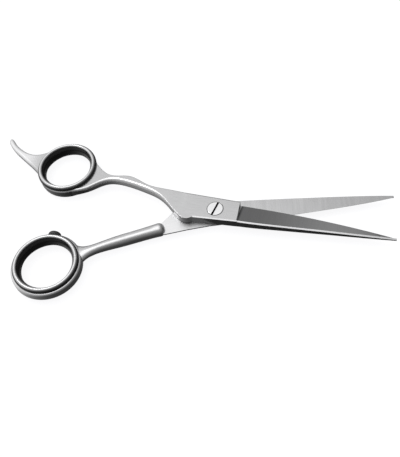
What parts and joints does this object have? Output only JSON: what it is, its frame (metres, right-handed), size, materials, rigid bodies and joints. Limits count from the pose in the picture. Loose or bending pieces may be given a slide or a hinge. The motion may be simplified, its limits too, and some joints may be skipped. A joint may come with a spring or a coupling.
{
  "type": "hair cutting shears",
  "caption": "Hair cutting shears: a long-tanged finger half and a thumb half turn on a slotted tension screw, with soft ring inserts and a rubber bumper.",
  "frame": {"origin": "on the pivot axis, in the plane where the inner faces of the two halves meet", "axes": "+X along the middle of the opening towards the tips, +Z along the pivot axis towards the slotted screw head, +Y towards the side of the finger ring and its tang"},
  "size_m": [0.1646, 0.0785, 0.0073],
  "materials": {
    "steel": "satin",
    "polished_steel": "polished",
    "bright_trim": "polished",
    "insert_rubber": "glossy black",
    "bumper_rubber": "semi-gloss black",
    "slip_plastic": "smooth, off-white",
    "lock_plastic": "smooth, blue"
  },
  "bodies": {
    "finger_side": {"finger_half": "steel", "finger_insert": "insert_rubber", "finger_trim": "bright_trim"},
    "thumb_side": {"thumb_half": "steel", "thumb_insert": "insert_rubber", "thumb_trim": "bright_trim", "bumper": "bumper_rubber", "glide_washer": "slip_plastic", "lock_bush": "lock_plastic"},
    "screw": {"tension_screw": "polished_steel", "head_washer": "polished_steel"}
  },
  "joints": [
    {"name": "blade_pivot", "type": "hinge", "parent": "finger_side", "child": "thumb_side", "pos_m": [0, 0, 0], "axis": [0, 0, 1], "range_deg": [-16.5, 73]},
    {"name": "tension_turn", "type": "hinge", "parent": "thumb_side", "child": "screw", "pos_m": [0, 0, 0], "axis": [0, 0, 1], "range_deg": [-90, 90]}
  ]
}
